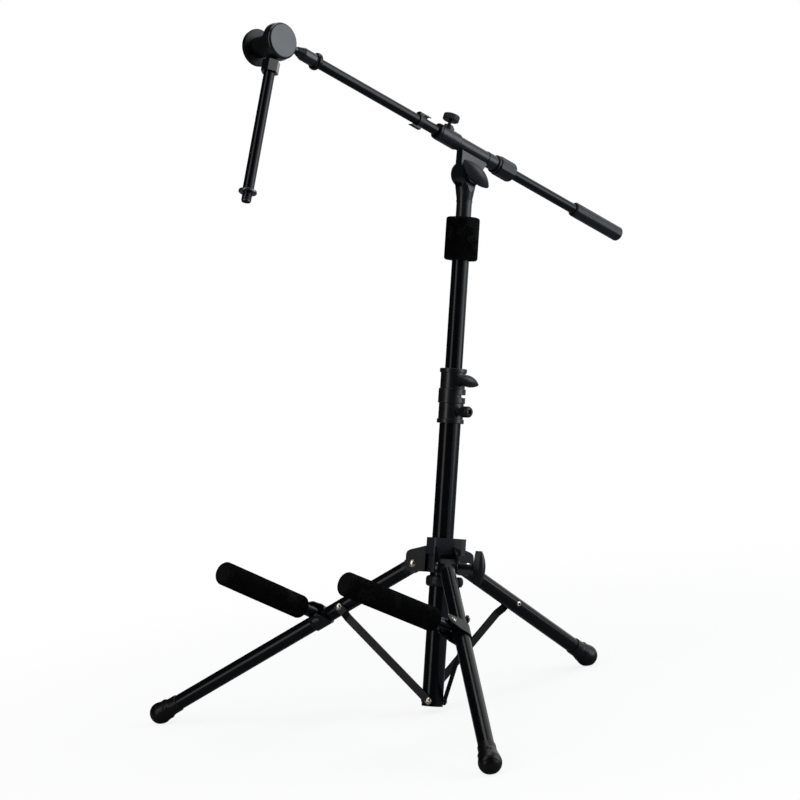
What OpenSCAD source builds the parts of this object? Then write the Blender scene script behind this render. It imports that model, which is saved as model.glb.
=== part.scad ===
// Tripod amplifier stand with a boom microphone arm, in millimetres.
// The floor is z = 0, the front of the stand faces -Y, and the boom lies over the middle.

/* [Mast] */
// Outer diameter of the lower mast tube
mast_d = 35; // [34:0.5:40]
// Wall of the lower and the upper mast tube
mast_wall = 1.5; // [1:0.1:1.9]
// Length of the lower mast tube
mast_len = 508; // [480:1:560]
// Outer diameter of the upper mast tube
post_d = 28.5; // [24:0.5:29]
// Length of the upper mast tube
post_len = 585; // [540:1:640]
// Height of the upper tube's lower end above the lower tube's lower end
post_set = 210; // [150:1:300]
// Height of the plug in the lower end of the mast
plug_h = 26; // [20:1:40]
// Length of the nylon guide bush on the upper tube
guide_h = 34; // [20:1:60]

/* [Height collar] */
// Height of the collar at the joint of the two tubes
collar_h = 90; // [82:1:104]
// Wall of the collar round the lower tube
collar_wall = 2.9; // [2:0.1:5]
// How far the middle band and the rims stand proud of the collar
collar_rim = 1.9; // [1:0.1:4]
// Height of the slit in the middle band
collar_slit = 5; // [2:0.5:6]
// Span of the wing knobs on the mast
wing_span = 50; // [40:1:58]

/* [Legs] */
// Outer diameter of the leg tubes
leg_d = 25.4; // [22:0.1:26]
// Wall of the leg tubes
leg_wall = 1.4; // [1:0.1:2]
// Distance of a leg's pivot from the mast axis
pivot_r = 44.5; // [42:0.5:52]
// Height of the leg pivots above the mast's lower end
pivot_z = 231; // [220:1:260]
// Angle between a front leg and the mast
front_spread = 57.2; // [52:0.1:60]
// Angle between the rear leg and the mast
rear_spread = 64.5; // [60:0.1:66]
// Length of a front leg from its pivot to the middle of its foot
front_leg = 520; // [480:1:560]
// Length of the rear leg from its pivot to the middle of its foot
rear_leg = 328; // [300:1:350]
// Diameter of the rubber feet
foot_d = 37; // [33:0.5:44]
// Length of the foot's sleeve above its middle
foot_sleeve = 38; // [30:1:50]
// Height of the hub that slides on the mast
hub_h = 27; // [22:1:34]
// Thickness of the sheet of the leg brackets
bracket_t = 3; // [2:0.5:4]

/* [Leg struts] */
// Distance from a front leg's pivot to its strut
front_strut_at = 148; // [135:1:158]
// Distance from the rear leg's pivot to its strut
rear_strut_at = 134; // [122:1:150]
// Height of the strut screws above the mast's lower end
strut_anchor = 9; // [8:0.5:14]
// Width of the strut bars
strut_w = 13.5; // [11:0.5:16]
// Thickness of the strut bars
strut_t = 3; // [2:0.5:4]

/* [Support arms] */
// Distance from a leg's pivot to its arm clamp
arm_at = 189; // [180:1:230]
// Distance of the arm's pivot from the leg's axis
arm_ahead = 28; // [26:0.5:36]
// Rise of the support arms from square to the mast
arm_rise = 15.5; // [10:0.5:20]
// Swing of the left support arm towards the middle
arm_swing = 8; // [0:0.5:12]
// Outer diameter of the arm tubes
arm_d = 19; // [16:0.5:20]
// Length of a support arm from its pivot to the end of the foam
arm_len = 225; // [200:1:280]
// Diameter of the foam on the arms
arm_foam_d = 38; // [34:0.5:42]

/* [Back rest] */
// Diameter of the foam on the mast
rest_d = 55; // [48:1:64]
// Height of the foam on the mast
rest_h = 71; // [60:1:90]

/* [Boom] */
// Height of the boom's hinge above the upper end of the upper tube
hinge_above = 80; // [78:1:110]
// Distance of the boom from its hinge
boom_lift = 41; // [39:0.5:48]
// Rise of the boom from square to the mast
boom_rise = 17; // [8:0.5:26]
// Outer diameter of the boom tube
boom_d = 17.2; // [15:0.1:18]
// Wall of the boom and drop tubes
boom_wall = 1.2; // [0.9:0.1:1.6]
// Reach of the boom tube in front of its hinge
boom_front = 352; // [320:1:420]
// Reach of the boom behind its hinge, with the grip
boom_back = 356; // [320:1:420]
// Length of the grip on the boom's rear end
grip_len = 113; // [90:1:130]
// Diameter of that grip
grip_d = 25; // [23:0.5:30]
// Diameter of the casting's sleeve round the boom
sleeve_d = 23.6; // [22:0.2:26]
// Diameter of the hinge discs of the boom clutch
hinge_d = 40; // [36:1:46]
// Place of the cable clip in front of the hinge
clip_at = 126; // [112:1:200]

/* [Drop arm] */
// Turn of the swivel about the boom
swivel_roll = 9; // [0:1:20]
// Lean of the drop arm from square to the boom
drop_lean = -2; // [-15:1:15]
// Diameter of the swivel's two discs
disc_d = 61; // [54:1:68]
// Thickness of the near disc
disc_t = 16; // [13:0.5:20]
// Outer diameter of the drop tube
drop_d = 18; // [17:0.1:19]
// Distance from the swivel's axle to the drop tube's lower end
drop_len = 253; // [200:1:300]
// Diameter of the microphone thread and of the boom's end thread
thread_d = 15.875; // [15:0.125:16]
// Length of the microphone thread
thread_len = 15; // [12:1:20]

/* [Hidden] */
$fn = 64;
run_gap = 0.1;
part_gap = 0.4;
weld = 0.5;
guide_floor = 3;
mast_id = mast_d - 2 * mast_wall;
post_id = post_d - 2 * mast_wall;
LEGS = ["left", "right", "rear"];
LEG_TURN = [210, 330, 90];
function leg_turn(k) = LEG_TURN[k];
function leg_spread(k) = k == 2 ? rear_spread : front_spread;
function leg_len(k) = k == 2 ? rear_leg : front_leg;
function strut_at(k) = k == 2 ? rear_strut_at : front_strut_at;

// The three foot centres fix how the mast leans back and how high it stands.
foot_flat = 1.6;
foot_boss_d = 16;
foot_boss_r = leg_d / 2 - 3.5;
foot_floor = 6;
floor_span = 4 * (front_leg + rear_leg);
front_out = pivot_r + front_leg * sin(front_spread);
front_up = pivot_z - front_leg * cos(front_spread);
rear_out = pivot_r + rear_leg * sin(rear_spread);
rear_up = pivot_z - rear_leg * cos(rear_spread);
mast_tilt = atan2(rear_up - front_up, rear_out + front_out * cos(60));
floor_lift = foot_d / 2 - foot_flat + rear_out * sin(mast_tilt) - rear_up * cos(mast_tilt);

// Leg hub, brackets and struts
hub_wall = 5;
hub_face = mast_d / 2 + hub_wall;
hub_corner = hub_face + 3;
hub_block_r = hub_face + 14.5;
hub_knob_r = mast_d / 2 + 37;
hub_base = pivot_z - 12;
hub_split = pivot_z + 18;
bracket_gap = leg_d + 2 * part_gap;
bracket_reach = pivot_r + 12;
hub_block_w = 2 * ((hub_face - part_gap) * cos(30) - (bracket_gap / 2 + bracket_t) * sin(30));
hub_round = hub_face + 4.4;
knuckle_up = 12;
knuckle_down = 21;
spigot_l = 26;
pin_d = 8;
pin_head_d = 12;
strut_gap = 0.8;
strut_step = 14;
strut_plane = mast_d / 2 + strut_gap;
strut_near = leg_d / 2 + strut_gap;
screw_d = 5;
screw_head_d = 11;
screw_head_h = 3.2;
plug_screw_from = mast_id / 2 - 10;
hub_knob_turn = 30;
hub_screw_d = 10;
ring_h = 18;
ring_top = hub_base - 5;
ring_wall = 6;
ring_screw_d = 6;

// Height collar
collar_top = mast_len + 46.5;
collar_base = collar_top - collar_h;
collar_r = mast_d / 2 + collar_wall;
band_low = collar_base + 33;
band_high = collar_base + 57;
rim_h = 7;
slit_turn = 50;
bushing_wall = 1.4;
bushing_d = post_d + 2 * bushing_wall;
knob_z = band_high + 13;
collar_boss = 11;
collar_screw_d = 8;
collar_face = collar_r + collar_boss + part_gap;
lock_boss = 6;
lock_face = collar_r + lock_boss + part_gap;
lock_z = collar_base + 19.5;
lock_l = 20;

// Support arms
arm_sleeve = 30;
arm_sheet = 2.5;
cheek_r = 11;
cheek_from = 14;
arm_wall = 1.3;
arm_pin_d = 6;
foam_round = 5;
foam_floor = 6;
arm_foam_start = 30;
// The arm's direction in the leg's own axes, from pointing forward with its rise and swing
function arm_turn(side) = side < 0 ? 60 + arm_swing : 60;
function arm_dir(side) = [
    -cos(front_spread) * cos(arm_rise) * cos(arm_turn(side)) - sin(front_spread) * sin(arm_rise),
    -side * cos(arm_rise) * sin(arm_turn(side)),
    sin(front_spread) * cos(arm_rise) * cos(arm_turn(side)) - cos(front_spread) * sin(arm_rise)];
function arm_roll(side) = atan2(arm_dir(side)[1], arm_dir(side)[0]);
function arm_fold_of(side) = acos(arm_dir(side)[2]);
arm_fold = arm_fold_of(1);
arm_from_leg = arm_at - arm_ahead / tan(arm_fold);
arm_root_out = pivot_r + arm_from_leg * sin(front_spread);
arm_root = [0, -arm_root_out / 2, pivot_z - arm_from_leg * cos(front_spread)];
arm_tip_l = arm_ahead / sin(arm_fold) + arm_len;

// Back rest, yoke and clutch
post_top = post_set + post_len;
hinge_z = post_top + hinge_above;
rest_top = post_top + 9;
yoke_neck = 37;
yoke_plug = 50;
lug_t = 15;
washer_t = 0.6;
ear_in = lug_t / 2 + washer_t + run_gap;
ear_t = 7;
ear_out = ear_in + ear_t;
ear_boss = 1.5;
clutch_pin_d = 8;
front_collar_from = 38;
front_collar_to = 82;
front_collar_d = sleeve_d + 4.4;
nut_from = 55;
nut_to = 90;
nut_d = sleeve_d + 8;
nut_ring_t = 5;
thread_neck = 72;
thread_neck_d = sleeve_d - 1.2;
collet_t = 8;
thumb_at = 64;
thumb_screw_d = 6;
grip_round = 3;
grip_floor = 20;
bush_l = 14;
clip_w = 10;
clip_t = 2;
clip_gap = 1.6;
clip_lip_l = 18;
clip_hook_l = 15;
bush_d = boom_d + 5;

// Swivel and drop arm
swivel_reach = 83;
swivel_at = boom_front + swivel_reach;
ring_nut_d = 29;
ring_nut_t = 10;
ring_nut_at = boom_front + 1;
socket_d = thread_d + 5.7;
socket_from = ring_nut_at + ring_nut_t + 0.5;
socket_to = socket_from + 23;
stud_plug = 24;
end_thread = 19;
cone_to = swivel_at - disc_d / 2 - 4;
neck_d = 11;
axle_d = 8;
tang_t = 9;
tang_d = 36;
tang_x = -disc_t / 2 - washer_t - tang_t / 2;
knob_hub_x = tang_x - tang_t / 2 - washer_t;
far_disc_t = 11;
far_disc_x = -disc_t / 2 - 44;
axle_end = far_disc_x + 4;
axle_in = 2;
block_from = disc_d / 2 + 2;
drop_from = block_from + 4;
block_h = 19;
block_w = drop_d + 7.4;
block_turn = 53;
stop_flange_t = 4;

// The frame's origin lies on the floor, midway between the arm tips and the boom grip's end.
function tilted_y(p) = p[1] * cos(mast_tilt) + p[2] * sin(mast_tilt);
function round_end_reach(p, d, lean, r) = tilted_y(p) + (d / 2 - r) * abs(sin(lean)) + r * (1 - cos(lean));
arm_tip = [0, arm_root[1] - arm_tip_l * cos(arm_rise), arm_root[2] + arm_tip_l * sin(arm_rise)];
arm_tip_lean = arm_rise + mast_tilt;
front_reach = -tilted_y(arm_tip) + (arm_foam_d / 2 - foam_round) * sin(arm_tip_lean)
    + foam_round * (1 - cos(arm_tip_lean));
grip_tip = [0, boom_back * cos(boom_rise) + boom_lift * sin(boom_rise),
    hinge_z - boom_back * sin(boom_rise) + boom_lift * cos(boom_rise)];
rear_reach = round_end_reach(grip_tip, grip_d, boom_rise + mast_tilt, grip_round);
frame_shift = (front_reach - rear_reach) / 2;

// Places that the pieces are drawn in

module stand() translate([0, frame_shift, floor_lift]) rotate([-mast_tilt, 0, 0]) children();

module at_leg(k) stand() translate([0, 0, pivot_z]) rotate([0, 0, leg_turn(k)])
    translate([pivot_r, 0, 0]) children();

module along_leg(k) at_leg(k) rotate([0, 180 - leg_spread(k), 0]) children();

// At an arm's clamp, with z down the leg, x out to the arm's pivot and y along the pivot bolt
module at_clamp(k, side) along_leg(k) translate([0, 0, arm_at]) rotate([0, 0, arm_roll(side)]) children();

// At an arm's pivot, with z along the arm and y along the pivot bolt
module along_arm(k, side) at_clamp(k, side) translate([arm_ahead, 0, 0])
    rotate([0, arm_fold_of(side), 0]) children();

module at_hinge() stand() translate([0, 0, hinge_z]) rotate([-boom_rise, 0, 0]) children();

// Along the boom, with z pointing forward and y pointing up
module along_boom(s = 0) at_hinge() translate([0, -s, boom_lift]) rotate([90, 0, 0]) children();

// At the swivel's axle, with x along the axle, -y forward along the boom and z up
module at_swivel() at_hinge() translate([0, -swivel_at, boom_lift]) rotate([0, -swivel_roll, 0]) children();

// Along the drop arm, with z pointing down it
module along_drop() at_swivel() translate([tang_x, 0, 0]) rotate([180 - drop_lean, 0, 0]) children();

module across() rotate([0, 90, 0]) children();

// Shapes that repeat

module tube(d, wall, len) {
    difference() {
        cylinder(d = d, h = len);
        translate([0, 0, -1]) cylinder(d = d - 2 * wall, h = len + 2);
    }
}

module rounded_rod(d, len, r) {
    rotate_extrude() {
        square([d / 2 - r, len]);
        translate([0, r]) square([d / 2, len - 2 * r]);
        for (z = [r, len - r]) translate([d / 2 - r, z]) circle(r);
    }
}

module rounded_sleeve(d, bore, len, r) {
    rotate_extrude() difference() {
        union() {
            square([d / 2 - r, len]);
            translate([0, r]) square([d / 2, len - 2 * r]);
            for (z = [r, len - r]) translate([d / 2 - r, z]) circle(r);
        }
        translate([-1, -1]) square([bore / 2 + 1, len + 2]);
    }
}

module slot_2d(from, to, w) {
    translate([from, -w / 2]) square([to - from, w]);
    for (x = [from, to]) translate([x, 0]) circle(d = w);
}

// A wing knob on a screw: z points out of the thread, and the wing lies along x with a round back
module wing_knob(span, hub_d, hub_l, wing_w, wing_t, screw_d, screw_l) {
    wall = wing_t - wing_w / 2;
    translate([0, 0, -screw_l]) cylinder(d = screw_d, h = screw_l + weld);
    cylinder(d1 = hub_d * 0.8, d2 = hub_d, h = hub_l + weld);
    translate([0, 0, hub_l]) linear_extrude(wall) wing_outline(span, wing_w);
    translate([0, 0, hub_l + wall]) intersection() {
        rotate([0, 90, 0]) rotate_extrude() intersection() {
            rotate(90) wing_outline(span, wing_w);
            translate([0, -span]) square([wing_w, 2 * span]);
        }
        translate([-span, -wing_w, -weld]) cube([2 * span, 2 * wing_w, wing_w]);
    }
}

// The wing seen along its screw: two arcs that meet in blunt tips
function wing_half(x, span, w) =
    let(r = (span * span + w * w) / (4 * w)) sqrt(r * r - x * x) - r + w / 2;

module wing_outline(span, w) {
    tip = span * 0.46;
    steps = [for (i = [-8 : 8]) tip * i / 8];
    upper = [for (x = steps) [x, wing_half(x, span, w)]];
    lower = [for (x = steps) [-x, -wing_half(x, span, w)]];
    polygon(concat(upper, lower));
}

// A round knob with a fluted rim
module fluted_knob(d, h, flutes, depth) {
    difference() {
        rounded_rod(d, h, h * 0.22);
        for (i = [0 : flutes - 1]) rotate([0, 0, 360 * i / flutes])
            translate([d / 2 + depth * 0.6, 0, -1]) cylinder(d = depth * 3, h = h + 2, $fn = 24);
    }
}

module floor_cut() translate([-floor_span / 2, -floor_span / 2, -foot_d])
    cube([floor_span, floor_span, foot_d]);

// Mast, stop ring and height collar

module lower_mast_tube() color("#16181b") stand() difference() {
    tube(mast_d, mast_wall, mast_len);
    for (k = [0 : 2]) strut_side(k) cylinder(d = screw_d, h = mast_d);
}

// Faces out of the mast where leg k's strut is screwed on
module strut_side(k) rotate([0, 0, leg_turn(k)]) translate([0, 0, strut_anchor])
    rotate([-90, 0, 0]) children();

module mast_end_plug() color("#111214") stand() difference() {
    cylinder(d = mast_id, h = plug_h);
    translate([0, 0, strut_anchor * 2]) cylinder(d = mast_id - 6, h = plug_h);
    for (k = [0 : 2]) strut_side(k) translate([0, 0, plug_screw_from]) cylinder(d = screw_d, h = mast_d);
}

module strut_screws() color("#b9b4a8") stand() for (k = [0 : 2]) strut_side(k) {
    translate([0, 0, plug_screw_from])
        cylinder(d = screw_d, h = strut_plane + strut_t - plug_screw_from + weld);
    translate([0, 0, strut_plane + strut_t + run_gap]) screw_head();
}

module screw_head() difference() {
    intersection() {
        cylinder(d = screw_head_d, h = screw_head_h);
        translate([0, 0, screw_head_h - screw_head_d * 0.7]) sphere(r = screw_head_d * 0.7);
    }
    for (a = [0, 90]) rotate([0, 0, a]) translate([-screw_head_d * 0.28, -0.6, screw_head_h * 0.45])
        cube([screw_head_d * 0.56, 1.2, screw_head_h]);
}

module stop_ring() color("#0e0f10") stand() difference() {
    union() {
        translate([0, 0, ring_top - ring_h])
            rounded_sleeve(mast_d + 2 * ring_wall, mast_d, ring_h, ring_wall * 0.9);
        ring_screw_side() translate([0, 0, mast_d / 2 + 1])
            cylinder(d = 2 * ring_screw_d + 1, h = ring_wall + 2);
    }
    ring_screw_side() cylinder(d = ring_screw_d, h = mast_d * 2);
    translate([0, 0, ring_top - ring_h - 1]) cylinder(d = mast_d, h = ring_h + 2);
}

module ring_screw_side() translate([0, 0, ring_top - ring_h / 2]) rotate([0, 0, hub_knob_turn])
    across() children();

module stop_ring_screw() color("#0e0f10") stand() ring_screw_side() {
    translate([0, 0, mast_d / 2]) cylinder(d = ring_screw_d, h = ring_wall + 6);
    translate([0, 0, mast_d / 2 + ring_wall + 3]) rounded_rod(17, 12, 4);
}

module height_collar() color("#1d2024") stand() difference() {
    union() {
        translate([0, 0, collar_base]) cylinder(r = collar_r, h = collar_h);
        collar_rim_at(collar_base, rim_h);
        collar_rim_at(band_low, band_high - band_low);
        collar_rim_at(collar_top - rim_h, rim_h);
        translate([0, 0, knob_z]) across() cylinder(d = 2 * collar_screw_d, h = collar_r + collar_boss);
        translate([0, 0, lock_z]) across() cylinder(d = collar_screw_d + 5, h = collar_r + lock_boss);
    }
    translate([0, 0, collar_base - 1]) cylinder(d = mast_d, h = mast_len - collar_base + 1);
    translate([0, 0, mast_len - 1]) cylinder(d = bushing_d, h = collar_h);
    for (z = [knob_z, lock_z]) translate([0, 0, z]) across() cylinder(d = collar_screw_d, h = collar_r * 2);
    translate([0, 0, (band_low + band_high) / 2]) rotate([0, 0, slit_turn])
        translate([collar_r - 12, -mast_d, -collar_slit / 2]) cube([mast_d, 2 * mast_d, collar_slit]);
}

module collar_rim_at(z, h) translate([0, 0, z]) rotate_extrude() {
    square([collar_r + collar_rim - 1, h]);
    translate([0, 1]) square([collar_r + collar_rim, h - 2]);
    for (e = [1, h - 1]) translate([collar_r + collar_rim - 1, e]) circle(1, $fn = 32);
}

module collar_bushing() color("#2a2c2f") stand() translate([0, 0, mast_len]) difference() {
    cylinder(d = bushing_d, h = collar_top - mast_len);
    translate([0, 0, -1]) cylinder(d = post_d + 2 * run_gap, h = collar_h);
    translate([0, 0, knob_z - mast_len]) across() cylinder(d = collar_screw_d, h = collar_r);
}

// The two screws of the collar point to the side of the stand
module height_wing_knob() color("#15171a") stand() translate([collar_face, 0, knob_z]) across()
    rotate([0, 0, 78])
        wing_knob(wing_span, 17, 3, 19, 12, collar_screw_d - 2 * run_gap, collar_face - post_d / 2 - 1);

module collar_lock_knob() color("#0c0d0e") stand() translate([lock_face, 0, lock_z]) across() difference() {
    union() {
        translate([0, 0, mast_d / 2 + 1 - lock_face])
            cylinder(d = collar_screw_d - 2 * run_gap, h = lock_face - mast_d / 2);
        fluted_knob(18.5, lock_l, 14, 0.7);
    }
    translate([0, 0, lock_l - 4]) cylinder(d = 9.2, h = lock_l, $fn = 6);
}

// Leg hub, its brackets, legs and feet

// A triangle with its corners cut off: the wide faces look along the legs
module hub_outline(face, corner) {
    big = 4 * corner;
    intersection_for (k = [0 : 2]) rotate(leg_turn(k)) translate([-big, -big]) square([big + face, 2 * big]);
}

module hub_section() intersection() {
    hub_outline(hub_face, hub_corner);
    rotate(60) hub_outline(hub_corner, hub_corner);
    circle(hub_round);
}

module leg_hub() color("#1b1e22") stand() difference() {
    union() {
        translate([0, 0, hub_split]) linear_extrude(hub_h) hub_section();
        translate([0, 0, hub_base]) cylinder(r = hub_face, h = hub_split - hub_base + weld);
        translate([0, 0, hub_split]) rotate([0, 0, hub_knob_turn]) translate([0, -hub_block_w / 2, 0])
            cube([hub_block_r, hub_block_w, hub_h]);
        translate([0, 0, pivot_z]) rotate([0, 0, hub_knob_turn]) across()
            cylinder(d = hub_screw_d + 8, h = hub_corner + 5);
    }
    translate([0, 0, hub_base - 1]) cylinder(d = mast_d + 2 * run_gap, h = 2 * hub_h + 60);
    translate([0, 0, pivot_z]) rotate([0, 0, hub_knob_turn]) across()
        cylinder(d = hub_screw_d, h = 2 * hub_corner);
    for (k = [0 : 2]) rotate([0, 0, leg_turn(k)])
        translate([hub_face, -bracket_gap, hub_base - 1])
            cube([bracket_reach, 2 * bracket_gap, hub_split - hub_base + 1]);
}

module bracket_cheek() linear_extrude(bracket_t) difference() {
    union() {
        polygon([[hub_face, hub_base - pivot_z], [bracket_reach - 3, hub_base - pivot_z], [bracket_reach, -6],
            [bracket_reach, 15], [bracket_reach - 2, 20], [bracket_reach - 7, 23], [hub_face, 31]]);
        translate([pivot_r, 0]) circle(bracket_reach - pivot_r);
    }
    translate([pivot_r, 0]) circle(d = pin_d);
}

module leg_brackets() color("#202329") for (k = [0 : 2]) stand() rotate([0, 0, leg_turn(k)])
    translate([0, 0, pivot_z]) {
        for (s = [-1, 1]) translate([0, s * (bracket_gap + bracket_t) / 2 + bracket_t / 2, 0])
            rotate([90, 0, 0]) bracket_cheek();
        translate([hub_face, -bracket_gap / 2 - weld, hub_base - pivot_z])
            cube([bracket_t, bracket_gap + 2 * weld, hub_split - hub_base]);
    }

module leg_pivot_pins() color("#b3ada0") for (k = [0 : 2]) at_leg(k) rotate([90, 0, 0]) {
    cylinder(d = pin_d, h = bracket_gap + 2 * bracket_t, center = true);
    for (s = [0, 1]) mirror([0, 0, s]) translate([0, 0, bracket_gap / 2 + bracket_t]) intersection() {
        cylinder(d = pin_head_d, h = 3);
        translate([0, 0, 3 - pin_head_d * 0.8]) sphere(r = pin_head_d * 0.8);
    }
}

module hub_clamp_knob() color("#14161a") stand() translate([0, 0, pivot_z]) rotate([0, 0, hub_knob_turn])
    translate([hub_knob_r, 0, 0]) across()
        wing_knob(wing_span * 1.2, 18, 4, 17, 18, hub_screw_d - 2 * run_gap, hub_knob_r - mast_d / 2 - 1);

module leg_tube(k) color("#17191d") along_leg(k) translate([0, 0, knuckle_down])
    tube(leg_d, leg_wall, leg_len(k) - foot_floor - knuckle_down);

// A plastic end for the leg: a block that turns in the bracket, with a spigot inside the tube
module leg_knuckle(k) color("#0c0d0e") along_leg(k) difference() {
    union() {
        cylinder(d = leg_d, h = knuckle_down);
        rotate([90, 0, 0]) cylinder(r = knuckle_up, h = leg_d, center = true);
        translate([-knuckle_up, -leg_d / 2, 0]) cube([2 * knuckle_up, leg_d, knuckle_up * 0.9]);
        cylinder(d = leg_d - 2 * leg_wall, h = knuckle_down + spigot_l);
    }
    rotate([90, 0, 0]) cylinder(d = pin_d + 2 * run_gap, h = 2 * leg_d, center = true);
}

// The foot is a sleeve that flares to a round end, cut flat where it stands, with four raised bosses
module foot_cap(k) color("#0b0b0c") difference() {
    along_leg(k) translate([0, 0, leg_len(k)]) difference() {
        union() {
            rotate_extrude() foot_profile();
            for (a = [0 : 90 : 270]) rotate([0, 0, a])
                translate([foot_boss_r, 0, -foot_sleeve * 0.4]) sphere(d = foot_boss_d, $fn = 32);
        }
        translate([0, 0, -foot_sleeve - 1]) cylinder(d = leg_d, h = foot_sleeve + 1 - foot_floor);
    }
    floor_cut();
}

module foot_profile() {
    neck_r = leg_d / 2 + 1.6;
    bulb_r = foot_d / 2;
    groove = 1.1;
    difference() {
        union() {
            intersection() {
                circle(bulb_r);
                translate([0, -bulb_r * sin(10)]) square([bulb_r, 2 * bulb_r]);
            }
            polygon([[0, -foot_sleeve], [neck_r - 0.8, -foot_sleeve], [neck_r, -foot_sleeve + 0.8],
                [neck_r, -foot_sleeve * 0.62], [bulb_r * cos(10), -bulb_r * sin(10)], [0, 0]]);
        }
        translate([bulb_r * cos(31) - groove, bulb_r * sin(31)]) square([bulb_r, groove]);
    }
}

// The struts lie beside the legs, flat against the side of the mast

function strut_foot(k) = [pivot_r + strut_at(k) * sin(leg_spread(k)),
    pivot_z - strut_at(k) * cos(leg_spread(k)) - strut_anchor];
function strut_len(k) = norm(strut_foot(k));
function strut_lean(k) = atan2(strut_foot(k)[0], strut_foot(k)[1]);

// Along strut k from its screw: x runs up the bar, z points away from the leg's plane
module along_strut(k) stand() rotate([0, 0, leg_turn(k)]) translate([0, 0, strut_anchor])
    rotate([0, strut_lean(k) - 90, 0]) rotate([-90, 0, 0]) children();

module leg_strut(k) color("#1c1f23") along_strut(k) difference() {
    intersection() {
        translate([0, strut_w, 0]) rotate([90, 0, 0]) linear_extrude(2 * strut_w) strut_bend(strut_len(k));
        linear_extrude(strut_plane + 2 * strut_t) slot_2d(0, strut_len(k), strut_w);
    }
    cylinder(d = screw_d + 2 * run_gap, h = mast_d);
    translate([strut_len(k), 0, 0]) cylinder(d = screw_d, h = mast_d);
}

// The bar seen from its edge, stepped in towards the leg near its upper end
module strut_bend(len) {
    step_from = len - strut_step - 12;
    step_to = len - strut_step;
    end = len + strut_w;
    polygon([[-strut_w, strut_plane], [step_from, strut_plane], [step_to, strut_near], [end, strut_near],
        [end, strut_near + strut_t], [step_to, strut_near + strut_t],
        [step_from, strut_plane + strut_t], [-strut_w, strut_plane + strut_t]]);
}

module strut_rivet(k) color("#b3ada0") along_strut(k) translate([strut_len(k), 0, 0]) {
    translate([0, 0, strut_near - strut_gap / 2]) cylinder(d = screw_d, h = strut_t + strut_gap / 2 + weld);
    translate([0, 0, strut_near + strut_t]) screw_head();
}

// Support arms that carry the amplifier

// A strap of sheet wraps the leg and ends in two cheeks, with the arm's pivot bolt through both
module arm_clamp(k, side) color("#1b1e22") at_clamp(k, side) difference() {
    union() {
        translate([0, 0, -arm_sleeve / 2]) cylinder(d = leg_d + 2 * arm_sheet, h = arm_sleeve);
        for (s = [-1, 1]) translate([0, s * (leg_d + arm_sheet) / 2 + arm_sheet / 2, 0]) rotate([90, 0, 0])
            linear_extrude(arm_sheet) arm_cheek();
    }
    translate([0, 0, -arm_sleeve]) cylinder(d = leg_d, h = 2 * arm_sleeve);
    translate([arm_ahead, 0, 0]) rotate([90, 0, 0]) cylinder(d = arm_pin_d, h = 2 * leg_d, center = true);
}

module arm_cheek() {
    h = arm_sleeve / 2;
    polygon([[0, -h], [cheek_from, -h], [arm_ahead, -cheek_r],
        [arm_ahead, cheek_r], [cheek_from, h], [0, h]]);
    translate([arm_ahead, 0]) circle(cheek_r);
}

module arm_pivot_bolt(k, side) color("#b3ada0") along_arm(k, side) rotate([90, 0, 0]) {
    outer = leg_d / 2 + arm_sheet;
    cylinder(d = arm_pin_d, h = 2 * outer, center = true);
    for (s = [0, 1]) mirror([0, 0, s]) translate([0, 0, outer]) screw_head();
}

// The arm's end is closed by a ball, with a cross bush for the bolt
module arm_tube(k, side) color("#17191d") along_arm(k, side) difference() {
    union() {
        cylinder(d = arm_d, h = arm_len - foam_floor);
        sphere(d = arm_d);
        rotate([90, 0, 0]) cylinder(d = arm_pin_d + 7, h = leg_d - 2 * part_gap, center = true);
    }
    translate([0, 0, arm_d * 0.8]) cylinder(d = arm_d - 2 * arm_wall, h = arm_len);
    rotate([90, 0, 0]) cylinder(d = arm_pin_d + 2 * run_gap, h = 2 * leg_d, center = true);
}

module arm_foam(k, side) color("#0a0a0b") along_arm(k, side) translate([0, 0, arm_foam_start]) difference() {
    rounded_rod(arm_foam_d, arm_len - arm_foam_start, foam_round);
    translate([0, 0, -1]) cylinder(d = arm_d, h = arm_len - arm_foam_start - foam_floor + 1);
}

// Upper tube, back rest foam and the yoke of the boom

module guide_bush() color("#2a2c2f") stand() translate([0, 0, post_set - guide_floor]) difference() {
    cylinder(d = mast_id - 2 * run_gap, h = guide_h);
    translate([0, 0, guide_floor - part_gap]) cylinder(d = post_d + 2 * run_gap, h = guide_h);
    translate([0, 0, -1]) cylinder(d = post_id, h = guide_h);
}

module upper_mast_tube() color("#17191d") stand() translate([0, 0, post_set])
    tube(post_d, mast_wall, post_len);

module mast_foam() color("#0a0a0b") stand() translate([0, 0, rest_top - rest_h]) difference() {
    rounded_rod(rest_d, rest_h, foam_round);
    translate([0, 0, -1]) cylinder(d = post_d, h = post_top - rest_top + rest_h + 1);
    cylinder(d = post_id, h = 2 * rest_h);
}

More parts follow.
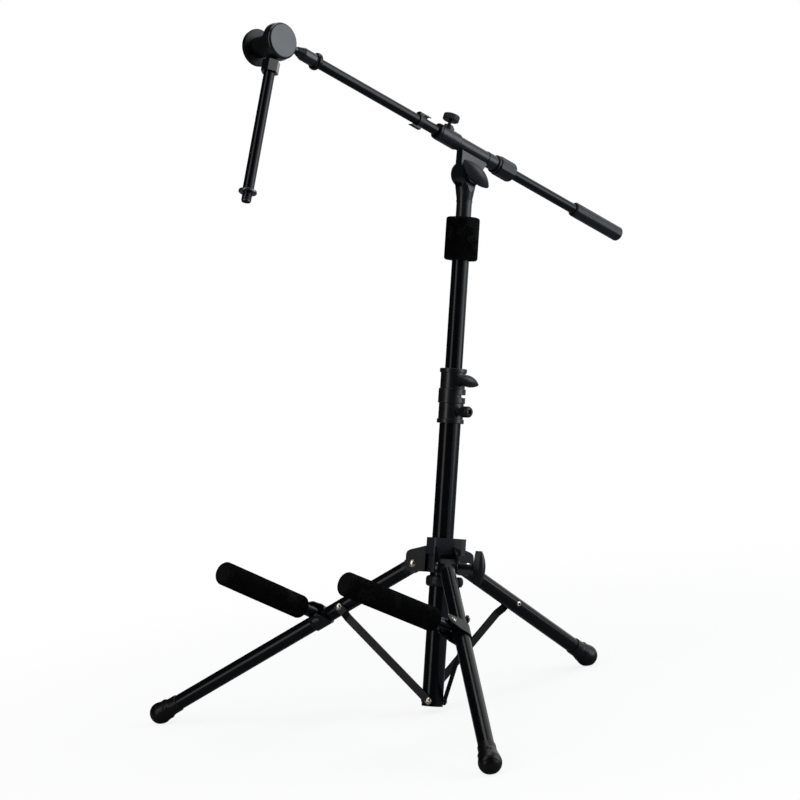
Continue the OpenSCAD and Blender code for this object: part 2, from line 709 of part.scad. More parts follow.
// A stem that plugs into the tube and opens into a fork with two round ears
module boom_yoke() color("#1b1e22") stand() difference() {
    union() {
        translate([0, 0, post_top - yoke_plug]) cylinder(d = post_id, h = yoke_plug + yoke_neck);
        translate([0, 0, post_top + yoke_neck - 3]) cylinder(d = post_id + 1.4, h = 3);
        intersection() {
            translate([0, 0, post_top + yoke_neck - 1])
                cylinder(d1 = post_id, d2 = hinge_d, h = hinge_above - yoke_neck + 1);
            translate([-ear_out, -hinge_d, post_top]) cube([2 * ear_out, 2 * hinge_d, hinge_above]);
        }
        translate([0, 0, hinge_z]) across() cylinder(d = hinge_d, h = 2 * ear_out, center = true);
        translate([0, 0, hinge_z]) across()
            cylinder(d = hinge_d - 7, h = 2 * (ear_out + ear_boss), center = true);
    }
    translate([-ear_in, -hinge_d, hinge_z - hinge_d / 2 - 2]) cube([2 * ear_in, 2 * hinge_d, 2 * hinge_d]);
    translate([0, 0, hinge_z]) across() cylinder(d = clutch_pin_d, h = 4 * ear_out, center = true);
    translate([0, 0, post_top - yoke_plug - 1]) cylinder(d = post_id - 8, h = yoke_plug);
}

module clutch_bolt() color("#8d8a84") stand() translate([0, 0, hinge_z]) across() {
    translate([0, 0, -ear_out - ear_boss - weld])
        cylinder(d = clutch_pin_d, h = 2 * (ear_out + ear_boss) + 8);
    translate([0, 0, -ear_out - ear_boss - 6]) cylinder(d = 15, h = 6, $fn = 6);
}

module clutch_wing_knob() color("#15171a") stand()
    translate([ear_out + ear_boss + part_gap, 0, hinge_z]) across() rotate([0, 0, 55]) difference() {
        wing_knob(wing_span * 1.44, 32, 6, 26, 15, 20, 0);
        translate([0, 0, -1]) cylinder(d = clutch_pin_d + 2 * run_gap, h = 11);
    }

// A sleeve round the boom, a collar with a boss in front and a web down to the hinge
module boom_clutch() color("#1f2328") difference() {
    union() {
        along_boom(-thread_neck) cylinder(d = thread_neck_d, h = thread_neck);
        along_boom(-nut_from + 1) cylinder(d = sleeve_d, h = nut_from + front_collar_from);
        along_boom(-nut_from + nut_ring_t + part_gap) cylinder(d = sleeve_d + 1.8, h = 21);
        along_boom(front_collar_from) rounded_rod(front_collar_d, front_collar_to - front_collar_from, 2);
        along_boom(thumb_at) rotate([-90, 0, 0]) cylinder(d = 16, h = boom_d / 2 + 10);
        along_boom(thumb_at) rotate([-90, 0, 0]) cylinder(d = 21, h = front_collar_d / 2 + 1);
        at_hinge() across() cylinder(d = hinge_d - 1, h = lug_t, center = true);
        at_hinge() across() translate([0, 0, -lug_t / 2]) linear_extrude(lug_t) rotate(90) web_outline();
    }
    along_boom(-2 * boom_back) cylinder(d = boom_d + 2 * run_gap, h = 3 * boom_back);
    along_boom(front_collar_to - bush_l) cylinder(d = bush_d, h = boom_front);
    along_boom(thumb_at) rotate([-90, 0, 0]) cylinder(d = thumb_screw_d, h = 60);
    at_hinge() across() cylinder(d = clutch_pin_d + 2 * run_gap, h = 2 * hinge_d, center = true);
}

// The web in the boom's plane: x runs back along the boom and y up to it
module web_outline() polygon([[-0.46 * hinge_d, -2], [0.46 * hinge_d, -2],
    [34, boom_lift], [-30, boom_lift]]);

module clutch_washers() color("#3a3a3a") at_hinge() across() for (s = [-1, 1])
    translate([0, 0, s * (lug_t + washer_t) / 2 - washer_t / 2]) difference() {
        cylinder(d = hinge_d - 4, h = washer_t);
        translate([0, 0, -1]) cylinder(d = clutch_pin_d + 2 * run_gap, h = 3);
    }

module boom_front_bush() color("#0c0d0e") along_boom(front_collar_to - bush_l) difference() {
    union() {
        cylinder(d = bush_d, h = bush_l);
        translate([0, 0, bush_l]) cylinder(d = front_collar_d - 1, h = 3);
    }
    translate([0, 0, -1]) cylinder(d = boom_d + 2 * run_gap, h = bush_l + 5);
    along_thumb_screw() cylinder(d = thumb_screw_d, h = 40);
}

module along_thumb_screw() translate([0, 0, thumb_at - front_collar_to + bush_l])
    rotate([-90, 0, 0]) children();

module boom_nut_ring() color("#0c0d0e") along_boom(-nut_from + part_gap)
    rounded_sleeve(nut_d - 0.6, sleeve_d, nut_ring_t, 1.5);

module boom_collet() color("#2a2c2f") along_boom(-thread_neck - collet_t) difference() {
    cylinder(d1 = sleeve_d - 4, d2 = thread_neck_d, h = collet_t);
    translate([0, 0, -1]) cylinder(d = boom_d + 2 * run_gap, h = collet_t + 2);
    for (a = [0, 90]) rotate([0, 0, a]) translate([-0.6, -sleeve_d, -1])
        cube([1.2, 2 * sleeve_d, collet_t - 2]);
}

module boom_lock_nut() color("#1f2328") along_boom(-nut_to) difference() {
    intersection() {
        rotate([0, 0, 22.5]) cylinder(d = nut_d / cos(22.5), h = nut_to - nut_from, $fn = 8);
        rounded_rod(nut_d / cos(22.5) - 0.6, nut_to - nut_from, 3);
    }
    translate([0, 0, -1]) cylinder(d = boom_d + 4 * part_gap, h = nut_to);
    translate([0, 0, nut_to - thread_neck - collet_t - 1])
        cylinder(d = thread_neck_d + 2 * run_gap, h = nut_to);
}

module boom_thumbscrew() color("#121315") along_boom(thumb_at) rotate([-90, 0, 0]) {
    knob_from = boom_d / 2 + 18;
    translate([0, 0, boom_d / 2 + part_gap])
        cylinder(d = thumb_screw_d - 2 * run_gap, h = knob_from - boom_d / 2);
    translate([0, 0, knob_from]) fluted_knob(27.5, 11, 28, 0.7);
}

// Boom, its grip, clip and the thread at its front end

module boom_tube() color("#16181b") along_boom(-boom_back + grip_floor)
    tube(boom_d, boom_wall, boom_back - grip_floor + boom_front);

module boom_end_stud() color("#0f1012") along_boom(boom_front) {
    translate([0, 0, -stud_plug]) cylinder(d = boom_d - 2 * boom_wall, h = stud_plug);
    cylinder(d = thread_d - 1, h = socket_from - boom_front);
    translate([0, 0, ring_nut_at - boom_front]) rounded_rod(ring_nut_d, ring_nut_t, 4);
    translate([0, 0, socket_from - boom_front]) cylinder(d = thread_d, h = end_thread);
}

module boom_grip() color("#1f2328") along_boom(-boom_back) difference() {
    intersection() {
        rotate([0, 0, 22.5]) cylinder(d = 0.965 * grip_d / cos(22.5), h = grip_len, $fn = 8);
        rounded_rod(grip_d, grip_len, grip_round);
    }
    translate([0, 0, grip_floor]) cylinder(d = boom_d, h = grip_len);
}

// A clip for the microphone cable: a strap round the boom with a lip above it and a hook below
module cable_clip() color("#111214") along_boom(clip_at) difference() {
    union() {
        translate([0, 0, -clip_w / 2]) cylinder(d = boom_d + 2 * clip_t, h = clip_w);
        clip_lip(1, -clip_lip_l, clip_w / 2, 11);
        clip_lip(-1, -clip_w / 2, clip_hook_l, 9);
    }
    translate([0, 0, -clip_lip_l - 1]) cylinder(d = boom_d, h = 2 * clip_lip_l);
}

// A curved lip on one side of the boom, held off it so that a cable goes under
module clip_lip(side, from, to, w) intersection() {
    translate([0, 0, from]) difference() {
        cylinder(d = boom_d + 4 * clip_t + 2 * clip_gap, h = to - from);
        translate([0, 0, side > 0 ? -1 : clip_w - 1])
            cylinder(d = boom_d + 2 * clip_t + 2 * clip_gap, h = to - from - clip_w + 2);
    }
    translate([0, side * (boom_d / 2 + boom_d), 0]) cube([w, 2 * boom_d, 4 * clip_lip_l], center = true);
}

// Swivel with two discs, and the drop arm with the microphone thread

module swivel_disc(d, t, face_r) rotate_extrude() {
    square([d / 2 - face_r, t]);
    square([d / 2 - 1, t - face_r]);
    translate([d / 2 - 1 - face_r, t - face_r]) circle(face_r);
    translate([0, 0.8]) square([d / 2, 1.8]);
}

module swivel_body() color("#22262b") at_swivel() difference() {
    union() {
        translate([-disc_t / 2, 0, 0]) across() swivel_disc(disc_d, disc_t, 4.5);
        rotate([-90, 0, 0]) {
            translate([0, 0, disc_d / 4]) cylinder(d = neck_d, h = swivel_at - cone_to - disc_d / 4 + weld);
            translate([0, 0, swivel_at - cone_to])
                cylinder(d1 = neck_d + 2, d2 = socket_d, h = cone_to - socket_to, $fn = 48);
            translate([0, 0, swivel_at - socket_to - weld])
                cylinder(d = socket_d, h = socket_to - socket_from + weld);
        }
    }
    rotate([-90, 0, 0]) translate([0, 0, swivel_at - socket_from - end_thread - 1])
        cylinder(d = thread_d + 4 * run_gap, h = end_thread + 11);
    translate([-disc_t, 0, 0]) across() cylinder(d = axle_d, h = disc_t + axle_in);
}

module swivel_axle() color("#8d8a84") at_swivel() translate([axle_end, 0, 0]) across()
    cylinder(d = axle_d, h = axle_in - axle_end);

module swivel_washers() color("#3a3a3a") at_swivel() for (x = [-disc_t / 2 - washer_t, knob_hub_x])
    translate([x, 0, 0]) across() difference() {
        cylinder(d = tang_d - 4, h = washer_t);
        translate([0, 0, -1]) cylinder(d = axle_d, h = 3);
    }

module swivel_tension_knob() color("#16181b") at_swivel() difference() {
    union() {
        translate([far_disc_x - far_disc_t + 2, 0, 0]) across() mirror([0, 0, 1])
            translate([0, 0, -far_disc_t]) swivel_disc(disc_d, far_disc_t, 4.5);
        translate([far_disc_x, 0, 0]) across()
            cylinder(d = tang_d - 2, h = knob_hub_x - far_disc_x - run_gap);
    }
    translate([axle_end - part_gap, 0, 0]) across() cylinder(d = axle_d + 2 * run_gap, h = -far_disc_x);
}

module drop_knuckle() color("#1d2024") along_drop() difference() {
    union() {
        across() cylinder(d = tang_d, h = tang_t - 2 * run_gap, center = true);
        translate([-tang_t / 2 + run_gap, -9, 0]) cube([tang_t - 2 * run_gap, 18, block_from + weld]);
        translate([0, 0, block_from]) rotate([0, 0, block_turn])
            cylinder(d = block_w / cos(30), h = block_h, $fn = 6);
    }
    across() cylinder(d = axle_d + 2 * run_gap, h = disc_d, center = true);
    translate([0, 0, drop_from]) cylinder(d = drop_d, h = drop_len);
}

module drop_tube() color("#16181b") along_drop() translate([0, 0, drop_from])
    tube(drop_d, boom_wall, drop_len - drop_from);

module drop_thread_stud() color("#b8b6b0") along_drop() translate([0, 0, drop_len]) {
    translate([0, 0, -stud_plug]) cylinder(d = drop_d - 2 * boom_wall, h = stud_plug);
    rounded_rod(ring_nut_d, stop_flange_t, 1.2);
    cylinder(d = thread_d, h = stop_flange_t + thread_len);
}

lower_mast_tube();
mast_end_plug();
strut_screws();
stop_ring();
stop_ring_screw();
height_collar();
collar_bushing();
height_wing_knob();
collar_lock_knob();
leg_hub();
leg_brackets();
leg_pivot_pins();
hub_clamp_knob();
for (k = [0 : 2]) {
    leg_tube(k);
    leg_knuckle(k);
    foot_cap(k);
    leg_strut(k);
    strut_rivet(k);
}
for (k = [0 : 1]) {
    side = 2 * k - 1;
    arm_clamp(k, side);
    arm_pivot_bolt(k, side);
    arm_tube(k, side);
    arm_foam(k, side);
}
guide_bush();
upper_mast_tube();
mast_foam();
boom_yoke();
clutch_bolt();
clutch_wing_knob();
boom_clutch();
clutch_washers();
boom_front_bush();
boom_nut_ring();
boom_collet();
boom_lock_nut();
boom_thumbscrew();
boom_tube();
boom_end_stud();
boom_grip();
cable_clip();
swivel_body();
swivel_axle();
swivel_washers();
swivel_tension_knob();
drop_knuckle();
drop_tube();
drop_thread_stud();
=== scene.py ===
# %% [markdown]
# # A leaning tripod stand with a boom microphone arm
# The real object is a stage stand: three legs on a sliding hub, two foam arms that carry an amplifier,
# a foam back rest on the mast, and a boom whose drop arm holds a microphone.
# The solids come from the part itself and stay where they are. This lesson dresses them: it makes the
# soft and fine pieces that solids can't show, paints every surface, and sets light and camera.

# %% Load the solids
import math

import bmesh
import bpy
from mathutils import Matrix, Vector


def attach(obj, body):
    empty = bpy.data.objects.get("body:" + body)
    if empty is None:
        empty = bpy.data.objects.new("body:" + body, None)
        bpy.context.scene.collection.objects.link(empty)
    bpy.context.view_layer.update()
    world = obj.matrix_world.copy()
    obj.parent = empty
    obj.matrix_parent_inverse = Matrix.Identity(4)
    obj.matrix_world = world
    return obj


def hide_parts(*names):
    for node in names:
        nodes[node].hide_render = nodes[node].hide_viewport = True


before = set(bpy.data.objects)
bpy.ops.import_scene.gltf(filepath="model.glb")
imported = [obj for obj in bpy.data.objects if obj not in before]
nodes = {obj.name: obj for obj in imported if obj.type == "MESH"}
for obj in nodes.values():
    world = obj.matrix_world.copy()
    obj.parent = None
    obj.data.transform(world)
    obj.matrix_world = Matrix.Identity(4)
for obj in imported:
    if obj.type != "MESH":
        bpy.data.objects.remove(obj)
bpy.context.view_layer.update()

# %% [markdown]
# ## Places on the stand
# A new piece has to sit on its tube to a fraction of a millimetre. The places could be read off the screen,
# but a leaning stand has no straight numbers. So the same few sizes that shape the stand are written here,
# in metres and degrees, and every place is a chain of moves and turns, as the stand itself is put together.

# %% Places: the leaning mast and the legs
def move(x, y, z):
    return Matrix.Translation((x, y, z))


def turn(axis, degrees):
    return Matrix.Rotation(math.radians(degrees), 4, axis)


MAST_LEAN = 13.585
MAST_BACK = -0.12206
MAST_UP = 0.00961
mast_place = move(0, MAST_BACK, MAST_UP) @ turn("X", -MAST_LEAN)

PIVOT_OUT = 0.0445
PIVOT_UP = 0.231
LEG_RADIUS = 0.0127
LEG_TURN = {"left": 210, "right": 330, "rear": 90}
LEG_SPREAD = {"left": 57.2, "right": 57.2, "rear": 64.5}
STRUT_AT = {"left": 0.148, "right": 0.148, "rear": 0.134}


def leg_place(side):
    """Along a leg: z runs down it from its pivot, y points round the mast."""
    pivot = mast_place @ move(0, 0, PIVOT_UP) @ turn("Z", LEG_TURN[side]) @ move(PIVOT_OUT, 0, 0)
    return pivot @ turn("Y", 180 - LEG_SPREAD[side])


print("left leg's pivot:", [round(v, 4) for v in leg_place("left").translation])

# %% Places: the support arms and the drop arm
ARM_AT = 0.189
ARM_AHEAD = 0.028
ARM_ROLL = {"left": 115.187, "right": -120.196}
ARM_FOLD = {"left": 80.8706, "right": 74.9161}


def arm_place(side):
    """Along a support arm: z runs from its bolt to its tip."""
    clamp = leg_place(side) @ move(0, 0, ARM_AT) @ turn("Z", ARM_ROLL[side])
    return clamp @ move(ARM_AHEAD, 0, 0) @ turn("Y", ARM_FOLD[side])


HINGE_UP = 0.875
BOOM_RISE = 17
BOOM_LIFT = 0.041
SWIVEL_AT = 0.435
SWIVEL_ROLL = 9
TANG_SIDE = -0.0131
DROP_LEAN = -2
hinge_place = mast_place @ move(0, 0, HINGE_UP) @ turn("X", -BOOM_RISE)
swivel_place = hinge_place @ move(0, -SWIVEL_AT, BOOM_LIFT) @ turn("Y", -SWIVEL_ROLL)
drop_place = swivel_place @ move(TANG_SIDE, 0, 0) @ turn("X", 180 - DROP_LEAN)
print("left arm's bolt:", [round(v, 4) for v in arm_place("left").translation])
print("drop arm's axle:", [round(v, 4) for v in drop_place.translation])

# %% [markdown]
# ## Hand tools
# Modelling by hand goes in the same few moves each time: clear the selection, add a primitive, pick faces
# or edges, act on them, and at the end put the piece in its place. Picking by place or by normal is what
# the mouse would do, and it keeps working when a size changes. Points within a hair count as one place.

# %% Hand tools: starting, picking and placing
HAIR = 1e-6


def clear_selection():
    if bpy.context.object and bpy.context.object.mode != "OBJECT":
        bpy.ops.object.mode_set(mode="OBJECT")
    bpy.ops.object.select_all(action="DESELECT")


def pick_faces(test):
    """In edit mode, selects the faces whose middle and normal pass the test, and nothing else."""
    bpy.ops.mesh.select_mode(type="FACE")
    bpy.ops.mesh.select_all(action="DESELECT")
    mesh = bmesh.from_edit_mesh(bpy.context.object.data)
    for face in mesh.faces:
        face.select_set(test(face.calc_center_median(), face.normal))
    bmesh.update_edit_mesh(bpy.context.object.data)


def pick_edges(test):
    """In edit mode, selects the edges both of whose ends pass the test, and nothing else."""
    bpy.ops.mesh.select_mode(type="EDGE")
    bpy.ops.mesh.select_all(action="DESELECT")
    mesh = bmesh.from_edit_mesh(bpy.context.object.data)
    for edge in mesh.edges:
        edge.select_set(all(test(vert.co) for vert in edge.verts))
    bmesh.update_edit_mesh(bpy.context.object.data)


def push_faces(along):
    bpy.ops.mesh.extrude_region_move(TRANSFORM_OT_translate={"value": along})


def from_axis(point):
    return math.hypot(point.x, point.y)


def put_in_place(piece, place):
    """Writes a place into the mesh, so that the object itself sits at the origin."""
    clear_selection()
    piece.select_set(True)
    bpy.context.view_layer.objects.active = piece
    piece.matrix_world = place @ piece.matrix_world
    bpy.ops.object.transform_apply(location=True, rotation=True, scale=True)


def apply_all(piece):
    bpy.context.view_layer.objects.active = piece
    for modifier in list(piece.modifiers):
        bpy.ops.object.modifier_apply(modifier=modifier.name)


def tell(piece):
    size = [round(v * 1000, 1) for v in piece.dimensions]
    print(piece.name, "faces:", len(piece.data.polygons), "size in mm:", size)


print("hand tools ready")

# %% [markdown]
# ## Foam sleeves
# The two arms and the back rest are sleeves of cut foam pushed over the tubes. Foam keeps its round
# shape, so no cloth has to be simulated: what makes it foam is a soft rim, a skin that is never quite true,
# and a matte surface full of cells. A cylinder gives the body. Its ends are inset and pushed in for the
# bore, its rims are bevelled, and it is cut into many rings, because a displacement needs points to move.

# %% Foam sleeves: shaping one from a cylinder
RING_STEP = 0.0025
BORE_DEPTH = 0.012
CROWN_STEP = 0.0002
CROWN_SHARES = (0.45, 0.28, 0.15)


def foam_sleeve(name, radius, bore, start, end, rim, open_ends):
    clear_selection()
    bpy.ops.mesh.primitive_cylinder_add(
        vertices=96, radius=radius, depth=end - start, location=(0, 0, (start + end) / 2))
    sleeve = bpy.context.object
    sleeve.name = sleeve.data.name = name
    bpy.ops.object.transform_apply(location=True, rotation=True, scale=True)
    bpy.ops.object.mode_set(mode="EDIT")
    for z, inward in ((start, 1), (end, -1)):
        pick_faces(lambda middle, normal: abs(middle.z - z) < HAIR)
        if z in open_ends:
            bpy.ops.mesh.inset(thickness=radius - bore)
            push_faces((0, 0, inward * BORE_DEPTH))
        else:
            for share in CROWN_SHARES:
                bpy.ops.mesh.inset(thickness=radius * share)
                bpy.ops.transform.translate(value=(0, 0, inward * CROWN_STEP))
    pick_edges(lambda co: from_axis(co) > radius * 0.999 and min(abs(co.z - start), abs(co.z - end)) < HAIR)
    bpy.ops.mesh.bevel(offset=rim, segments=7, affect="EDGES")
    rings = int((end - start - 2 * rim) / RING_STEP)
    for i in range(1, rings):
        bpy.ops.mesh.select_all(action="SELECT")
        cut = start + rim + (end - start - 2 * rim) * i / rings
        bpy.ops.mesh.bisect(plane_co=(0, 0, cut), plane_no=(0, 0, 1))
    bpy.ops.object.mode_set(mode="OBJECT")
    return sleeve


print("foam rings every", RING_STEP * 1000, "mm")

# %% [markdown]
# The skin of cut foam is uneven at two scales: slow waves where the sleeve was ground round, and small
# pits where cells were opened. Two displacements with procedural cloud textures give both.

# %% Foam sleeves: an uneven skin
WAVE_DEPTH = 0.0009
PIT_DEPTH = 0.0003
SKIN_MIDDLE = 0.55
slow_waves = bpy.data.textures.new("foam_slow_waves", "CLOUDS")
slow_waves.noise_scale = 0.03
fine_pits = bpy.data.textures.new("foam_fine_pits", "CLOUDS")
fine_pits.noise_scale = 0.0028
fine_pits.noise_depth = 1


def roughen_foam(sleeve):
    for texture, depth in ((slow_waves, WAVE_DEPTH), (fine_pits, PIT_DEPTH)):
        skin = sleeve.modifiers.new(texture.name, "DISPLACE")
        skin.texture = texture
        skin.strength = depth
        skin.mid_level = SKIN_MIDDLE
    apply_all(sleeve)
    bpy.ops.object.shade_smooth()


print("foam textures:", slow_waves.name, fine_pits.name)

# %% Foam sleeves: two on the arms and one on the mast
ARM_FOAM_RADIUS = 0.019
ARM_FOAM_FROM = 0.030
ARM_FOAM_TO = 0.225
ARM_FOAM_RIM = 0.005
ARM_RADIUS = 0.0095
foams = {}
for side in ("left", "right"):
    arm_sleeve = foam_sleeve(
        "foam_sleeve_" + side, ARM_FOAM_RADIUS, ARM_RADIUS, ARM_FOAM_FROM, ARM_FOAM_TO, ARM_FOAM_RIM,
        (ARM_FOAM_FROM,))
    put_in_place(arm_sleeve, arm_place(side))
    roughen_foam(arm_sleeve)
    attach(arm_sleeve, "arm_" + side)
    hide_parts("arm_foam_" + side)
    foams[side] = arm_sleeve
    tell(arm_sleeve)

REST_RADIUS = 0.0275
REST_FROM = 0.733
REST_TO = 0.804
REST_RIM = 0.004
POST_RADIUS = 0.01425
back_rest = foam_sleeve(
    "foam_back_rest", REST_RADIUS, POST_RADIUS, REST_FROM, REST_TO, REST_RIM, (REST_FROM, REST_TO))
put_in_place(back_rest, mast_place)
roughen_foam(back_rest)
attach(back_rest, "post")
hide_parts("mast_foam")
foams["rest"] = back_rest
tell(back_rest)

# %% [markdown]
# ## Rivets
# Each strut is riveted through its leg, so the far side of the leg shows the rivet's upset tail: a low dome
# round the rivet's own hole. One rivet is modelled from a short cylinder, bevelled, inset and pushed in,
# and copied with a mesh of its own to every leg.

# %% Rivets: one model
RIVET_RADIUS = 0.0042
RIVET_RISE = 0.0021
RIVET_ROUND = RIVET_RISE * 0.75
RIVET_LIP = RIVET_RADIUS * 0.12
RIVET_HOLE = RIVET_RISE * 1.5


def rivet_model(name):
    clear_selection()
    bpy.ops.mesh.primitive_cylinder_add(
        vertices=40, radius=RIVET_RADIUS, depth=RIVET_RISE * 2, location=(0, 0, 0))
    rivet = bpy.context.object
    rivet.name = rivet.data.name = name
    bpy.ops.object.mode_set(mode="EDIT")
    pick_edges(lambda co: co.z > RIVET_RISE * 0.9)
    bpy.ops.mesh.bevel(offset=RIVET_ROUND, segments=5, affect="EDGES")
    pick_faces(lambda middle, normal: middle.z > RIVET_RISE * 0.99)
    bpy.ops.mesh.inset(thickness=RIVET_LIP)
    push_faces((0, 0, -RIVET_HOLE))
    bpy.ops.object.mode_set(mode="OBJECT")
    bpy.ops.object.shade_smooth_by_angle(angle=math.radians(35))
    return rivet


first_rivet = rivet_model("leg_rivet_left")
tell(first_rivet)

# %% Rivets: one on each leg
rivets = []
rivet_shape = first_rivet.data.copy()


def set_rivet(name, place, body):
    rivet = first_rivet
    if name != first_rivet.name:
        rivet = first_rivet.copy()
        rivet.data = rivet_shape.copy()
        rivet.name = rivet.data.name = name
        bpy.context.collection.objects.link(rivet)
    put_in_place(rivet, place)
    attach(rivet, body)
    rivets.append(rivet)


for side in ("left", "right", "rear"):
    tail = leg_place(side) @ move(0, -LEG_RADIUS, STRUT_AT[side]) @ turn("X", 90)
    set_rivet("leg_rivet_" + side, tail, "leg_" + side)
bpy.data.meshes.remove(rivet_shape)
print("rivets:", [rivet.name for rivet in rivets])

# %% [markdown]
# ## Microphone thread
# The drop arm ends in a flange and a fine thread of 27 turns to the inch. A ring of grooves would look alike
# from afar, but a thread climbs, so a small triangle is swept by the Screw modifier round a plain core.
# The core is a cylinder with a chamfered, hollow end, through which a cable can pass.

# %% Microphone thread: the core with its flange
DROP_LENGTH = 0.253
FLANGE_RADIUS = 0.0145
FLANGE_RISE = 0.004
THREAD_RADIUS = 0.0079375
THREAD_RISE = 0.015
THREAD_DEPTH = 0.0007
FLANGE_EDGE = 0.0009
STUD_WALL = 0.0016
STUD_BORE = 0.009
STUD_EDGE = 0.0005
core_top = FLANGE_RISE + THREAD_RISE

clear_selection()
bpy.ops.mesh.primitive_cylinder_add(
    vertices=64, radius=FLANGE_RADIUS, depth=FLANGE_RISE, location=(0, 0, FLANGE_RISE / 2))
mic_stud = bpy.context.object
mic_stud.name = mic_stud.data.name = "microphone_stud"
bpy.ops.object.transform_apply(location=True, rotation=True, scale=True)
bpy.ops.object.mode_set(mode="EDIT")
pick_edges(lambda co: from_axis(co) > FLANGE_RADIUS * 0.99 and (co.z < HAIR or co.z > FLANGE_RISE - HAIR))
bpy.ops.mesh.bevel(offset=FLANGE_EDGE, segments=3, affect="EDGES")
pick_faces(lambda middle, normal: normal.z > 0.99 and middle.z > FLANGE_RISE - HAIR)
bpy.ops.mesh.inset(thickness=FLANGE_RADIUS - FLANGE_EDGE - (THREAD_RADIUS - THREAD_DEPTH))
push_faces((0, 0, THREAD_RISE))
bpy.ops.mesh.inset(thickness=STUD_WALL)
push_faces((0, 0, -STUD_BORE))
pick_edges(lambda co: co.z > core_top - HAIR)
bpy.ops.mesh.bevel(offset=STUD_EDGE, segments=2, affect="EDGES")
bpy.ops.object.mode_set(mode="OBJECT")
tell(mic_stud)

# %% Microphone thread: a swept triangle
CORNER_SHARE = 0.72


def thread_turns(name, radius, depth, pitch, start, length):
    """A small triangle swept up a helix round the z axis, and closed at both ends."""
    corner = depth * CORNER_SHARE
    clear_selection()
    bpy.ops.mesh.primitive_circle_add(
        vertices=3, radius=corner, fill_type="NOTHING", rotation=(math.radians(90), math.radians(90), 0),
        location=(radius - corner, 0, start))
    ridge = bpy.context.object
    ridge.name = ridge.data.name = name
    bpy.ops.object.transform_apply(location=True, rotation=True, scale=True)
    sweep = ridge.modifiers.new("turns", "SCREW")
    sweep.screw_offset = pitch
    sweep.iterations = int(length / pitch)
    sweep.steps = sweep.render_steps = 28
    apply_all(ridge)
    bpy.ops.object.mode_set(mode="EDIT")
    bpy.ops.mesh.select_all(action="SELECT")
    bpy.ops.mesh.fill_holes(sides=3)
    bpy.ops.mesh.normals_make_consistent(inside=False)
    bpy.ops.object.mode_set(mode="OBJECT")
    return ridge


INCH = 0.0254
TURNS_PER_INCH = 27
THREAD_LEAD = 0.001
mic_turns = thread_turns(
    "thread_turns", THREAD_RADIUS, THREAD_DEPTH, INCH / TURNS_PER_INCH,
    FLANGE_RISE + THREAD_LEAD, THREAD_RISE - 2 * THREAD_LEAD)
tell(mic_turns)

# %% Microphone thread: joined to its core and put on the drop arm
clear_selection()
mic_turns.select_set(True)
mic_stud.select_set(True)
bpy.context.view_layer.objects.active = mic_stud
bpy.ops.object.join()
bpy.ops.object.shade_smooth_by_angle(angle=math.radians(30))
put_in_place(mic_stud, drop_place @ move(0, 0, DROP_LENGTH))
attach(mic_stud, "drop")
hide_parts("drop_thread_stud")
tell(mic_stud)

# %% [markdown]
# The screw of the hub's clamp knob is the other thread in view. Its core is a solid of the stand, so only the
# turns are added, on the length between the hub and the knob, and they ride on the knob.

# %% Clamp screw: the same thread at its own size
KNOB_OUT = 0.0545
KNOB_TURN = 30
CLAMP_RADIUS = 0.0052
CLAMP_LENGTH = 0.0225
CLAMP_DEPTH = 0.0011
CLAMP_PITCH = 0.0015
knob_place = mast_place @ move(0, 0, PIVOT_UP) @ turn("Z", KNOB_TURN) @ move(KNOB_OUT, 0, 0) @ turn("Y", 90)
clamp_turns = thread_turns(
    "clamp_screw_turns", CLAMP_RADIUS, CLAMP_DEPTH, CLAMP_PITCH, -CLAMP_LENGTH, CLAMP_LENGTH)
bpy.ops.object.shade_smooth_by_angle(angle=math.radians(30))
put_in_place(clamp_turns, knob_place)
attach(clamp_turns, "hub_knob")
tell(clamp_turns)

# %% [markdown]
# ## Surface effects shared by the finishes
# Paint, cast metal, moulded plastic and rubber differ mostly in scale: how fine their grain is and how
# evenly they shine. Each effect is a node group that is built once, and a finish sets its own values.
# All patterns read Object coordinates in metres, so a scale of 1000 means features about a millimetre wide.

# %% Shared effects: the group builder
def effect_group(name, inputs, outputs):
    group = bpy.data.node_groups.new(name, "ShaderNodeTree")
    group.interface.new_socket("Vector", in_out="INPUT", socket_type="NodeSocketVector")
    for label, value in inputs:
        socket = group.interface.new_socket(label, in_out="INPUT", socket_type="NodeSocketFloat")
        socket.default_value = value
    for label in outputs:
        group.interface.new_socket(label, in_out="OUTPUT", socket_type="NodeSocketFloat")
    return group, group.nodes.new("NodeGroupInput"), group.nodes.new("NodeGroupOutput")


def noise(tree, vector, scale, detail, rough=0.5):
    node = tree.nodes.new("ShaderNodeTexNoise")
    node.inputs["Detail"].default_value = detail
    node.inputs["Roughness"].default_value = rough
    tree.links.new(vector, node.inputs["Vector"])
    if isinstance(scale, (int, float)):
        node.inputs["Scale"].default_value = scale
    else:
        tree.links.new(scale, node.inputs["Scale"])
    return node.outputs["Fac"]


def remap(tree, value, low, high, to_low=0.0, to_high=1.0):
    node = tree.nodes.new("ShaderNodeMapRange")
    for label, number in (("From Min", low), ("From Max", high), ("To Min", to_low), ("To Max", to_high)):
        node.inputs[label].default_value = number
    tree.links.new(value, node.inputs["Value"])
    return node.outputs["Result"]


def math_node(tree, operation, first, second):
    node = tree.nodes.new("ShaderNodeMath")
    node.operation = operation
    for socket, value in zip(node.inputs, (first, second)):
        if isinstance(value, (int, float)):
            socket.default_value = value
        else:
            tree.links.new(value, socket)
    return node.outputs[0]


print("group builder ready")

